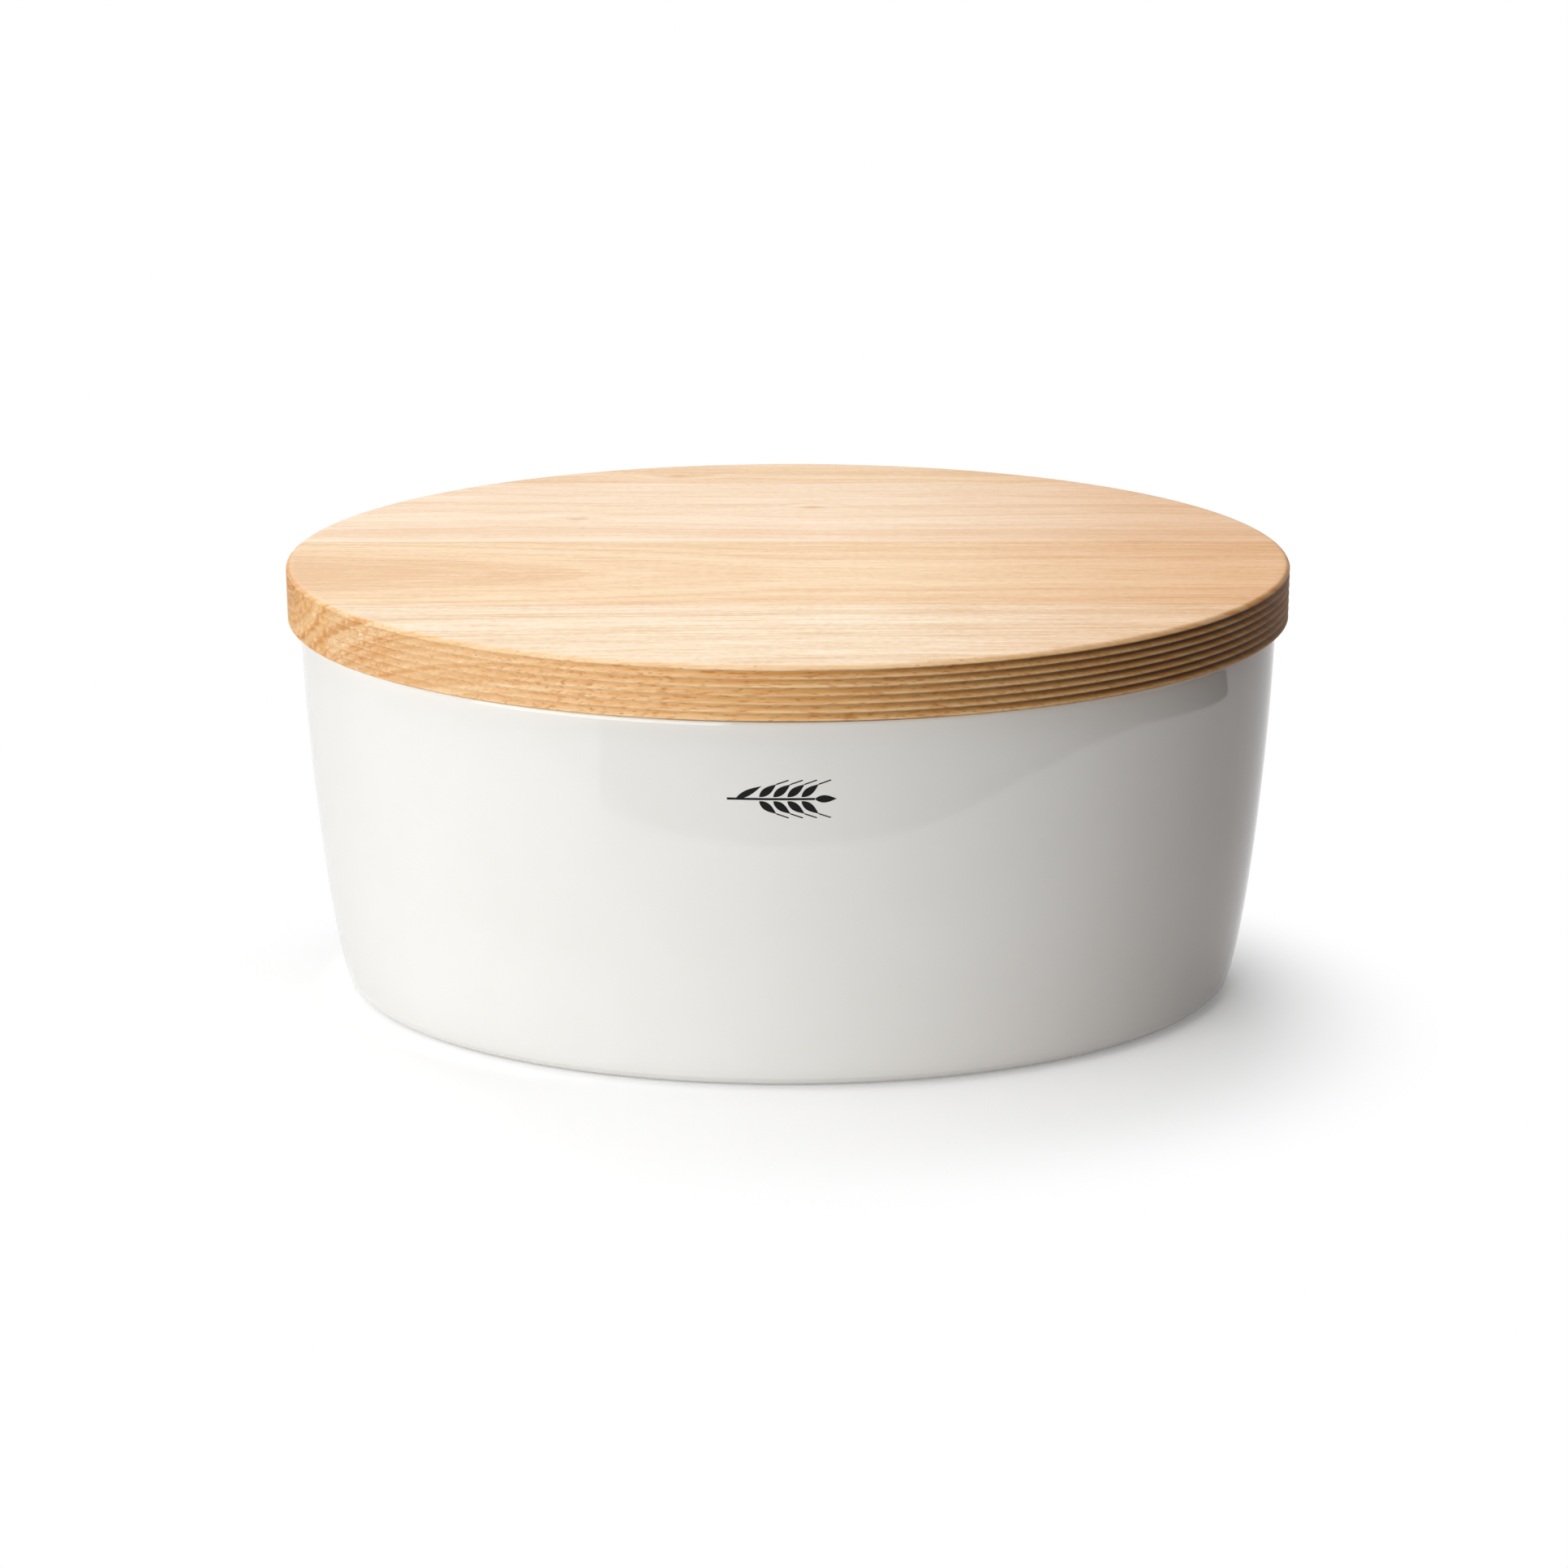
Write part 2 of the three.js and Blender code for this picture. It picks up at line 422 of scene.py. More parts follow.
def lid_section():
    """Rows of inset and height: from the plug's underside, up the edge, to the top."""
    seat = LID_TOP - LID_THICKNESS
    plug_side = LID_OVERHANG + WALL + PLUG_CLEARANCE
    plug_foot = seat - PLUG_DEPTH
    flutes_foot = seat + LOWER_ARRIS
    flutes_top = LID_TOP - TOP_ROUND
    flutes = []
    for flute in range(FLUTE_COUNT):
        foot = flutes_foot + flute * FLUTE_PITCH + FLUTE_CREST / 2
        top = foot + FLUTE_PITCH - FLUTE_CREST
        flutes.append([(0, foot)])
        flutes.append(bezier((0, foot), (2 * FLUTE_DEPTH, (foot + top) / 2), (0, top), steps=FLUTE_STEPS))
    return np.concatenate([
        [(plug_side + PLUG_CHAMFER + FLAT_BORDER, plug_foot)],
        [(plug_side + PLUG_CHAMFER, plug_foot)],
        [(plug_side, plug_foot + PLUG_CHAMFER)],
        [(plug_side, seat)],
        [(LOWER_ARRIS, seat)],
        *flutes,
        bezier((0, flutes_top), (TOP_CROWN, LID_TOP - TOP_CROWN), (TOP_ROUND, LID_TOP), steps=ROUND_STEPS),
        [(TOP_ROUND + FLAT_BORDER, LID_TOP)],
    ])


def smoothstep(low, high, value):
    """0 below low and 1 above high, with a smooth rise between them."""
    share = np.clip((value - low) / (high - low), 0, 1)
    return share * share * (3 - 2 * share)


def run_out(section, angle):
    """Change of inset where the flutes run out. The cutter left the wood at the left end, so the flutes fill
    up to the crests there, step by step, and crumbs broke off the crests where it ran against the grain."""
    leftness = -np.cos(angle)
    front = np.clip(-np.sin(angle) * LID_WIDTH / 2 / CRUMB_FRONT, 0, 1)
    crumbling = front * smoothstep(*CRUMB_SPAN, leftness) * (1 - smoothstep(*RUN_OUT_SPAN, leftness))
    run = angle * LID_LENGTH / 2 / CRUMB_LENGTH
    change = np.zeros((len(section), len(angle)))
    for row, (inset, height) in enumerate(section):
        if LID_TOP - LID_THICKNESS < height < LID_TOP - TOP_ROUND / 2:
            crest = round((height - LID_TOP) / FLUTE_PITCH)
            crumb = np.array([noise.cell((along, crest * CRUMB_SHIFT, CRUMB_LAYER)) for along in run])
            stepped = smoothstep(*RUN_OUT_SPAN, leftness + (crumb - 0.5) * CRUMB_SCATTER)
            nearness = max(0.0, 1 - inset / (FLUTE_DEPTH / 2))
            change[row] = CRUMB_DEPTH * nearness * crumbling * crumb - inset * stepped
    return change


def oval_skin(section, length, width, steps, wear=None):
    """Vertices in metres and faces of one closed skin round an oval, with a flat cap at each end."""
    angle = np.arange(steps) * 2 * math.pi / steps
    inset, height = section[:, :1], section[:, 1:]
    if wear:
        inset = inset + wear(section, angle)
    rings = np.stack(np.broadcast_arrays(
        (length / 2 - inset) * np.cos(angle),
        (width / 2 - inset) * np.sin(angle),
        height,
    ), axis=-1)
    faces = [tuple(range(steps))[::-1]]
    for ring in range(len(section) - 1):
        below = ring * steps
        above = below + steps
        for step in range(steps):
            after = (step + 1) % steps
            faces.append((below + step, below + after, above + after, above + step))
    last = (len(section) - 1) * steps
    faces.append(tuple(range(last, last + steps)))
    return rings.reshape(-1, 3) * MM, faces


def piece_from(mesh, name, material):
    """A mesh as an object of the scene, smooth but for its sharp edges."""
    mesh.materials.append(material)
    mesh.shade_smooth()
    mesh.set_sharp_from_angle(angle=SHARP_ANGLE)
    piece = bpy.data.objects.new(name, mesh)
    bpy.context.scene.collection.objects.link(piece)
    return piece


def crock_piece(material):
    """The bowl as one skin: foot ring, wall, lip, inside wall and floor."""
    vertices, faces = oval_skin(crock_section(), RIM_LENGTH, RIM_WIDTH, CROCK_STEPS)
    mesh = bpy.data.meshes.new("glazed_bowl")
    mesh.from_pydata(vertices, [], faces)
    return piece_from(mesh, "glazed_bowl", material)


def lid_board():
    """The whole board before it is parted into staves."""
    vertices, faces = oval_skin(lid_section(), LID_LENGTH, LID_WIDTH, LID_STEPS, wear=run_out)
    mesh = bpy.data.meshes.new("lid_board")
    mesh.from_pydata(vertices, [], faces)
    board = bmesh.new()
    board.from_mesh(mesh)
    bpy.data.meshes.remove(mesh)
    return board


def stave_piece(board, name, near, far, material):
    """The strip of the board between two glue joints, with its sawn sides closed."""
    strip = board.copy()
    for joint, outward in ((near, -1), (far, 1)):
        parts = strip.verts[:] + strip.edges[:] + strip.faces[:]
        bmesh.ops.bisect_plane(
            strip, geom=parts, plane_co=(0, joint * MM, 0), plane_no=(0, outward, 0), clear_outer=True
        )
        bmesh.ops.holes_fill(strip, edges=[edge for edge in strip.edges if edge.is_boundary])
    mesh = bpy.data.meshes.new(name)
    strip.to_mesh(mesh)
    strip.free()
    return piece_from(mesh, name, material)


def on_wall(along, up, proud):
    """A point in metres on the front of the bowl: along it to the right, up it, and out from the glaze."""
    insets, heights = outer_wall().T
    inset = np.interp(up, heights, insets) - proud
    turn = along / (RIM_LENGTH / 2)
    return Vector((
        (RIM_LENGTH / 2 - inset) * math.sin(turn),
        -(RIM_WIDTH / 2 - inset) * math.cos(turn),
        up,
    )) * MM


def printed_blade(print_mesh, start, heading, length, width, pointed):
    """One stroke of the print as a thin closed strip on the wall: a straight stalk, or a leaf that tapers
    to both ends."""
    ahead = Vector((math.cos(heading), math.sin(heading)))
    aside = Vector((-ahead.y, ahead.x))
    rows = []
    for step in range(BLADE_STEPS + 1):
        share = step / BLADE_STEPS
        swell = math.sin(math.pi * share ** BLADE_FULLNESS) if pointed else 1.0
        half = max(swell * width, BLADE_TIP) / 2
        middle = Vector(start) + ahead * length * share
        corners = []
        rim = ((-half, PRINT_FILM), (half, PRINT_FILM), (half, -PRINT_FILM), (-half, -PRINT_FILM))
        for side, proud in rim:
            spot = middle + aside * side
            corners.append(print_mesh.verts.new(on_wall(spot.x, spot.y, proud)))
        rows.append(corners)
    for first, second in zip(rows, rows[1:]):
        for corner in range(len(first)):
            after = (corner + 1) % len(first)
            print_mesh.faces.new((first[corner], first[after], second[after], second[corner]))
    print_mesh.faces.new(rows[0][::-1])
    print_mesh.faces.new(rows[-1])


def wheat_print(material):
    """An ear of wheat printed on the front, on its side: a stalk, pairs of grains, awns and one leaf."""
    print_mesh = bmesh.new()
    left, height = EAR_PLACE[0] - EAR_LENGTH / 2, EAR_PLACE[1]
    printed_blade(print_mesh, (left, height), 0.0, STALK_LENGTH, STALK_WIDTH, pointed=False)
    printed_blade(print_mesh, (left + LEAF_START, height), LEAF_ANGLE, LEAF_LENGTH, LEAF_WIDTH, pointed=True)
    for pair in range(GRAIN_PAIRS):
        root = left + FIRST_GRAIN + pair * GRAIN_SPACING
        for side in (-1, 1):
            start = (root, height + side * STALK_WIDTH)
            printed_blade(print_mesh, start, side * GRAIN_ANGLE, GRAIN_LENGTH, GRAIN_WIDTH, pointed=True)
            tip = (
                root + math.cos(GRAIN_ANGLE) * GRAIN_LENGTH,
                height + side * (STALK_WIDTH + math.sin(GRAIN_ANGLE) * GRAIN_LENGTH),
            )
            printed_blade(print_mesh, tip, side * AWN_ANGLE, AWN_LENGTH, AWN_WIDTH, pointed=False)
    end = left + STALK_LENGTH
    printed_blade(print_mesh, (end, height), 0.0, GRAIN_LENGTH, GRAIN_WIDTH, pointed=True)
    bmesh.ops.recalc_face_normals(print_mesh, faces=print_mesh.faces)
    mesh = bpy.data.meshes.new("wheat_print")
    print_mesh.to_mesh(mesh)
    print_mesh.free()
    return piece_from(mesh, "wheat_print", material)


# Materials


# Sockets of the Mix node, which shares their names between its forms: the share, then colours, then numbers.
MIX_SHARE = 0
MIX_FIRST, MIX_SECOND, MIX_OUT = 6, 7, 2
NUMBER_FIRST, NUMBER_SECOND = 2, 3


def linear(colour):
    """An sRGB hex colour as linear red, green, blue and alpha, by the curve of the sRGB standard."""
    parts = [int(colour[start:start + 2], 16) / 255 for start in (1, 3, 5)]
    return (*(p / 12.92 if p <= 0.04045 else ((p + 0.055) / 1.055) ** 2.4 for p in parts), 1.0)


def per_mm(sizes):
    """Scales of a pattern with features of these sizes in millimetres: along the stave, across and up."""
    return tuple(1 / size for size in sizes)


def add(tree, kind, inputs, out=0, **settings):
    """Adds one node and gives one of its outputs, if it has any. Settings are its own properties, and inputs
    holds a value or another node's output for each socket."""
    made = tree.nodes.new(kind)
    for name, value in settings.items():
        setattr(made, name, value)
    for socket, value in inputs.items():
        if isinstance(value, bpy.types.NodeSocket):
            tree.links.new(value, made.inputs[socket])
        else:
            made.inputs[socket].default_value = value
    return made.outputs[out] if len(made.outputs) else None


def new_material(name):
    """An empty node material, and its tree."""
    material = bpy.data.materials.new(name)
    material.use_nodes = True
    material.node_tree.nodes.clear()
    return material, material.node_tree


def place_in_mm(tree):
    """The point on the piece, in millimetres of the shared frame at rest, also when its body moves."""
    place = add(tree, "ShaderNodeTexCoord", {}, "Object")
    return add(tree, "ShaderNodeVectorMath", {0: place, "Scale": 1 / MM}, operation="SCALE")


def white_glazed_stoneware():
    """Slip-cast stoneware under a white tin glaze: glossy, faintly wavy, a touch warm where the glaze runs
    thin, and bare, matt and buff on the foot ring, which was wiped clean to stand in the kiln."""
    material, tree = new_material("white_glazed_stoneware")
    place = place_in_mm(tree)
    height = add(tree, "ShaderNodeSeparateXYZ", {0: place}, "Z")

    cloud = add(tree, "ShaderNodeTexNoise", {"Vector": place, "Scale": 1 / GLAZE_CLOUD, "Detail": 2.0})
    glaze = add(tree, "ShaderNodeMix", {
        MIX_SHARE: cloud, MIX_FIRST: linear(GLAZE_WHITES[0]), MIX_SECOND: linear(GLAZE_WHITES[1]),
    }, MIX_OUT, data_type="RGBA")
    thin = add(tree, "ShaderNodeMapRange", {
        "Value": height, "From Min": CROCK_HEIGHT - LIP_DROP, "From Max": CROCK_HEIGHT, "To Max": LIP_SHARE,
    }, interpolation_type="SMOOTHSTEP")
    glaze = add(tree, "ShaderNodeMix", {
        MIX_SHARE: thin, MIX_FIRST: glaze, MIX_SECOND: linear(LIP_CREAM),
    }, MIX_OUT, data_type="RGBA")

    grit = add(tree, "ShaderNodeTexNoise", {"Vector": place, "Scale": 1 / CLAY_GRIT, "Detail": 3.0})
    clay = add(tree, "ShaderNodeMix", {
        MIX_SHARE: grit, MIX_FIRST: linear(CLAY_BUFFS[0]), MIX_SECOND: linear(CLAY_BUFFS[1]),
    }, MIX_OUT, data_type="RGBA")
    bare = add(tree, "ShaderNodeMapRange", {
        "Value": height, "From Min": BARE_SPAN[0], "From Max": BARE_SPAN[1], "To Min": 1.0, "To Max": 0.0,
    }, interpolation_type="SMOOTHSTEP")
    colour = add(tree, "ShaderNodeMix", {
        MIX_SHARE: bare, MIX_FIRST: glaze, MIX_SECOND: clay,
    }, MIX_OUT, data_type="RGBA")
    roughness = add(tree, "ShaderNodeMapRange", {
        "Value": bare, "To Min": GLAZE_ROUGHNESS, "To Max": CLAY_ROUGHNESS,
    })

    wave = add(tree, "ShaderNodeTexNoise", {"Vector": place, "Scale": 1 / GLAZE_WAVE, "Detail": 1.0})
    peel = add(tree, "ShaderNodeTexNoise", {"Vector": place, "Scale": 1 / GLAZE_PEEL, "Detail": 1.0})
    wavy = add(tree, "ShaderNodeBump", {"Height": wave, "Strength": 1.0, "Distance": WAVE_DEPTH * MM})
    surface = add(tree, "ShaderNodeBump", {
        "Height": peel, "Normal": wavy, "Strength": 1.0, "Distance": PEEL_DEPTH * MM,
    })
    shader = add(tree, "ShaderNodeBsdfPrincipled", {
        "Base Color": colour, "Roughness": roughness, "Normal": surface, "IOR": GLOSS_IOR,
    })
    add(tree, "ShaderNodeOutputMaterial", {"Surface": shader})
    return material


def lid_surface(tree):
    """What the patterns of the wood ask of a point on the lid, as sockets: its place in millimetres, how
    much it lies on the cut edge and on end grain, and where it lies in the flutes, counted from the lowest."""
    place = place_in_mm(tree)
    parts = add(tree, "ShaderNodeSeparateXYZ", {0: place}).node.outputs
    facing = add(tree, "ShaderNodeNewGeometry", {}, "True Normal")
    tilt = add(tree, "ShaderNodeVectorMath", {0: facing}, operation="ABSOLUTE")
    tilt_parts = add(tree, "ShaderNodeSeparateXYZ", {0: tilt}).node.outputs
    edge = add(tree, "ShaderNodeMapRange", {
        "Value": tilt_parts["Z"], "From Min": EDGE_TILT[0], "From Max": EDGE_TILT[1],
        "To Min": 1.0, "To Max": 0.0,
    }, interpolation_type="SMOOTHSTEP")

    flute_height = add(tree, "ShaderNodeMath", {
        0: parts["Z"], 1: LID_TOP - LID_THICKNESS + LOWER_ARRIS,
    }, operation="SUBTRACT")
    flutes_up = add(tree, "ShaderNodeMath", {0: flute_height, 1: FLUTE_PITCH}, operation="DIVIDE")
    in_flutes = add(tree, "ShaderNodeMath", {0: flutes_up, 1: 0.0}, operation="MAXIMUM")
    fluted = add(tree, "ShaderNodeMapRange", {
        "Value": flutes_up, "From Min": FLUTE_COUNT, "From Max": FLUTE_COUNT + ROUND_RISE,
        "To Min": 1.0, "To Max": ROUND_SHARE,
    })
    fluted_edge = add(tree, "ShaderNodeMath", {0: fluted, 1: edge}, operation="MULTIPLY")
    return SimpleNamespace(
        place=place, x=parts["X"], y=parts["Y"], z=parts["Z"], edge=edge, end=tilt_parts["X"],
        flute_height=flute_height, in_flutes=in_flutes, fluted_edge=fluted_edge,
    )


def growth_rings(tree, at, pith, rise, sway, eyes):
    """How far a point lies from the pith in millimetres, where the bands sway and swell round knots, and how
    much it lies in the brown spot of a knot."""
    drift = add(tree, "ShaderNodeVectorMath", {0: at.place, 1: per_mm(RING_WANDER)}, operation="MULTIPLY")
    wander = add(tree, "ShaderNodeTexNoise", {"Vector": drift, "Scale": 1.0, "Detail": 2.0})
    sideways = add(tree, "ShaderNodeMath", {0: at.y, 1: pith[0]}, operation="SUBTRACT")
    climbing = add(tree, "ShaderNodeMath", {0: at.x, 1: PITH_LEVEL_FROM}, operation="MINIMUM")
    pith_height = add(tree, "ShaderNodeMath", {0: climbing, 1: rise, 2: pith[1]}, operation="MULTIPLY_ADD")
    upwards = add(tree, "ShaderNodeMath", {0: at.z, 1: pith_height}, operation="SUBTRACT")
    spoke = add(tree, "ShaderNodeCombineXYZ", {"X": sideways, "Y": upwards})
    radius = add(tree, "ShaderNodeVectorMath", {0: spoke}, "Value", operation="LENGTH")
    swayed = add(tree, "ShaderNodeMapRange", {"Value": wander, "To Min": -sway, "To Max": sway})
    ring = add(tree, "ShaderNodeMath", {0: radius, 1: swayed}, operation="ADD")
    knot = 0.0
    for eye in eyes:
        away = add(tree, "ShaderNodeVectorMath", {0: at.place, 1: (*eye, LID_TOP)}, operation="SUBTRACT")
        shape = add(tree, "ShaderNodeVectorMath", {0: away, 1: per_mm(KNOT_REACH)}, operation="MULTIPLY")
        reach = add(tree, "ShaderNodeVectorMath", {0: shape}, "Value", operation="LENGTH")
        swell = add(tree, "ShaderNodeMapRange", {
            "Value": reach, "To Min": KNOT_SWELL, "To Max": 0.0,
        }, interpolation_type="SMOOTHSTEP")
        ring = add(tree, "ShaderNodeMath", {0: ring, 1: swell}, operation="ADD")
        spot = add(tree, "ShaderNodeMapRange", {
            "Value": reach, "From Min": KNOT_SPOT[0], "From Max": KNOT_SPOT[1],
            "To Min": KNOT_SHARE, "To Max": 0.0,
        }, interpolation_type="SMOOTHSTEP")
        knot = add(tree, "ShaderNodeMath", {0: spot, 1: knot}, operation="MAXIMUM")
    return ring, knot


def wood_figure(tree, at, ring, heart):
    """The figure of the wood, as sockets: its tone from pale to tan, the same with the heart, its fine
    bands, its bundles of fibre, and how much of their relief a cut leaves."""
    broad = add(tree, "ShaderNodeTexNoise", {
        "W": ring, "Scale": 1 / BROAD_BAND, "Detail": 1.0,
    }, noise_dimensions="1D")
    fine = add(tree, "ShaderNodeTexNoise", {
        "W": ring, "Scale": 1 / FINE_BAND, "Detail": 3.0, "Roughness": 0.6,
    }, noise_dimensions="1D")
    bands = add(tree, "ShaderNodeMix", {MIX_SHARE: FINE_SHARE, NUMBER_FIRST: broad, NUMBER_SECOND: fine})
    bundles = add(tree, "ShaderNodeVectorMath", {0: at.place, 1: per_mm(FIBRE_BUNDLE)}, operation="MULTIPLY")
    fibre = add(tree, "ShaderNodeTexNoise", {
        "Vector": bundles, "Scale": 1.0, "Detail": 4.0, "Roughness": 0.65,
    })

    # A cut across the grain shows the growth rings, and next to none of the bundles.
    bundle_share = add(tree, "ShaderNodeMapRange", {
        "Value": at.end, "From Min": ACROSS_GRAIN[0], "From Max": ACROSS_GRAIN[1],
        "To Min": BUNDLE_SHARE[0], "To Max": BUNDLE_SHARE[1],
    })
    relief = add(tree, "ShaderNodeMapRange", {
        "Value": bundle_share, "From Min": BUNDLE_SHARE[1], "From Max": BUNDLE_SHARE[0], "To Min": END_RELIEF,
    })
    figure = add(tree, "ShaderNodeMix", {MIX_SHARE: bundle_share, NUMBER_FIRST: bands, NUMBER_SECOND: fibre})
    streak = add(tree, "ShaderNodeMapRange", {
        "Value": figure, "From Min": FIGURE_SPAN[0], "From Max": FIGURE_SPAN[1],
    })

    # The cells of the rays show as flecks on the flat faces.
    rays = add(tree, "ShaderNodeVectorMath", {0: at.place, 1: per_mm(RAY_FLECK)}, operation="MULTIPLY")
    ray = add(tree, "ShaderNodeTexNoise", {"Vector": rays, "Scale": 1.0, "Detail": 2.0})
    spread = add(tree, "ShaderNodeMapRange", {"Value": ray, "To Min": -FLECK_DEPTH, "To Max": FLECK_DEPTH})
    flat = add(tree, "ShaderNodeMath", {0: 1.0, 1: at.edge}, operation="SUBTRACT")
    fleck = add(tree, "ShaderNodeMath", {0: spread, 1: flat}, operation="MULTIPLY")
    flecked = add(tree, "ShaderNodeMath", {0: streak, 1: fleck}, operation="ADD", use_clamp=True)

    calm_share = add(tree, "ShaderNodeMath", {0: at.edge, 1: EDGE_CALM}, operation="MULTIPLY")
    tone = add(tree, "ShaderNodeMix", {
        MIX_SHARE: calm_share, NUMBER_FIRST: flecked, NUMBER_SECOND: CALM_TONE,
    })
    inside = add(tree, "ShaderNodeMapRange", {
        "Value": ring, "From Min": heart - HEART_EDGE, "From Max": heart,
        "To Min": HEART_SHARE, "To Max": 0.0,
    }, interpolation_type="SMOOTHSTEP")
    depth = add(tree, "ShaderNodeMath", {0: tone, 1: inside}, operation="ADD", use_clamp=True)
    return SimpleNamespace(tone=tone, depth=depth, fine=fine, fibre=fibre, relief=relief)


def oil_and_shade_tints(tree, at, tone):
    """Masks and tints of the oil, which yellows the edge, and of painted shade over the oil's tone, which
    darkens the top and the hollows of the flutes towards the right.
    """
    top_oil_and_shade = add(tree, "ShaderNodeMapRange", {
        "Value": at.x, "From Min": TOP_OIL_AND_SHADE_SPAN[0], "From Max": TOP_OIL_AND_SHADE_SPAN[1],
    }, interpolation_type="SMOOTHSTEP")
    smooth = add(tree, "ShaderNodeMath", {0: 1.0, 1: at.fluted_edge}, operation="SUBTRACT")
    oil = add(tree, "ShaderNodeMix", {
        MIX_SHARE: tone, MIX_FIRST: linear(EDGE_OILS[0]), MIX_SECOND: linear(EDGE_OILS[1]),
    }, MIX_OUT, data_type="RGBA")
    # This goes up and down between 0 on a crest and a half in the middle of a flute.
    from_crest = add(tree, "ShaderNodeMath", {0: at.in_flutes, 1: 0.5}, operation="PINGPONG")
    in_hollow = add(tree, "ShaderNodeMapRange", {
        "Value": from_crest, "From Min": POOL_OIL_AND_SHADE_SPAN[0], "From Max": POOL_OIL_AND_SHADE_SPAN[1],
    }, interpolation_type="SMOOTHSTEP")
    pool_oil_and_shade = add(tree, "ShaderNodeMix", {
        MIX_SHARE: in_hollow, MIX_FIRST: linear(POOL_OIL_AND_SHADE[0]), MIX_SECOND: linear(POOL_OIL_AND_SHADE[1]),
    }, MIX_OUT, data_type="RGBA")
    pool_to_right = add(tree, "ShaderNodeMapRange", {
        "Value": at.x, "From Min": EDGE_OIL_AND_SHADE_SPAN[0], "From Max": EDGE_OIL_AND_SHADE_SPAN[1],
    })
    # The top darkens to the right and the hollows of the flutes are darker: painted shade, over the oil's
    # tone.
    return [
        ((top_oil_and_shade, smooth), linear(TOP_OIL_AND_SHADE)),
        ((at.edge,), oil),
        ((pool_to_right, at.fluted_edge), pool_oil_and_shade),
    ]


def painted_shade_tints(tree, at):
    """Masks and tints of painted shade in the flutes, most of all under each crest and towards the right end,
    where the light doesn't reach, and of a painted shadow along the lower arris. That shadow is left out at
    its left end, and the shade of the flutes takes over from it to the right."""
    # Painted shade that grows towards the right end, where the light doesn't reach.
    shade_to_right = add(tree, "ShaderNodeMapRange", {
        "Value": at.x, "From Min": FLUTE_SHADE_SPAN[0], "From Max": FLUTE_SHADE_SPAN[1], "To Min": FLUTE_SHADE_LEAST,
    }, interpolation_type="SMOOTHSTEP")
    started = add(tree, "ShaderNodeMapRange", {
        "Value": at.x, "From Min": FLUTE_SHADE_START[0], "From Max": FLUTE_SHADE_START[1],
    })
    climb = add(tree, "ShaderNodeMath", {0: at.in_flutes}, operation="FRACT")
    under_crest = add(tree, "ShaderNodeMapRange", {
        "Value": climb, "From Min": HOLLOW_SPAN[0], "From Max": HOLLOW_SPAN[1],
        "To Min": FLUTE_SHADE_CREST, "To Max": FLUTE_SHADE_HOLLOW,
    }, interpolation_type="SMOOTHSTEP")
    crest = add(tree, "ShaderNodeMapRange", {
        "Value": climb, "From Min": CREST_SPAN[0], "From Max": CREST_SPAN[1],
        "To Min": 0.0, "To Max": FLUTE_SHADE_HOLLOW - FLUTE_SHADE_CREST,
    }, interpolation_type="SMOOTHSTEP")
    hollow = add(tree, "ShaderNodeMath", {0: under_crest, 1: crest}, operation="SUBTRACT")
    # Painted shadow along the lower arris: none at the left end, and fading out to the right.
    from_left = add(tree, "ShaderNodeMapRange", {
        "Value": at.x, "From Min": ARRIS_SHADOW_SPAN[0], "From Max": ARRIS_SHADOW_SPAN[1],
    }, interpolation_type="SMOOTHSTEP")
    to_right = add(tree, "ShaderNodeMapRange", {
        "Value": at.x, "From Min": ARRIS_SHADOW_END[0], "From Max": ARRIS_SHADOW_END[1], "To Min": 1.0, "To Max": 0.0,
    }, interpolation_type="SMOOTHSTEP")
    arris_shadow = add(tree, "ShaderNodeMapRange", {
        "Value": at.flute_height, "From Min": -LOWER_ARRIS, "From Max": ARRIS_SHADOW_TOP,
        "To Min": ARRIS_SHADOW_DARKNESS, "To Max": 0.0,
    }, interpolation_type="SMOOTHSTEP")
    # Painted shade in the flutes, and a painted shadow along the lower arris.
    return [
        ((shade_to_right, started, hollow, at.fluted_edge), linear(FLUTE_SHADE_BROWN)),
        ((from_left, to_right, arris_shadow, at.edge), linear(ARRIS_SHADOW_BROWN)),
    ]


def end_grain_tints(tree, at, fine):
    """Masks and tints of end grain, which drinks more oil and shows its growth rings in brown."""
    line = add(tree, "ShaderNodeMapRange", {
        "Value": fine, "From Min": END_RING_SPAN[0], "From Max": END_RING_SPAN[1], "To Max": END_RING_SHARE,
    })
    squarely = add(tree, "ShaderNodeMath", {0: at.end, 1: END_RING_FALL}, operation="POWER")
    return [
        ((at.end,), linear(END_OIL)),
        ((line, squarely), linear(END_RING_BROWN)),
    ]


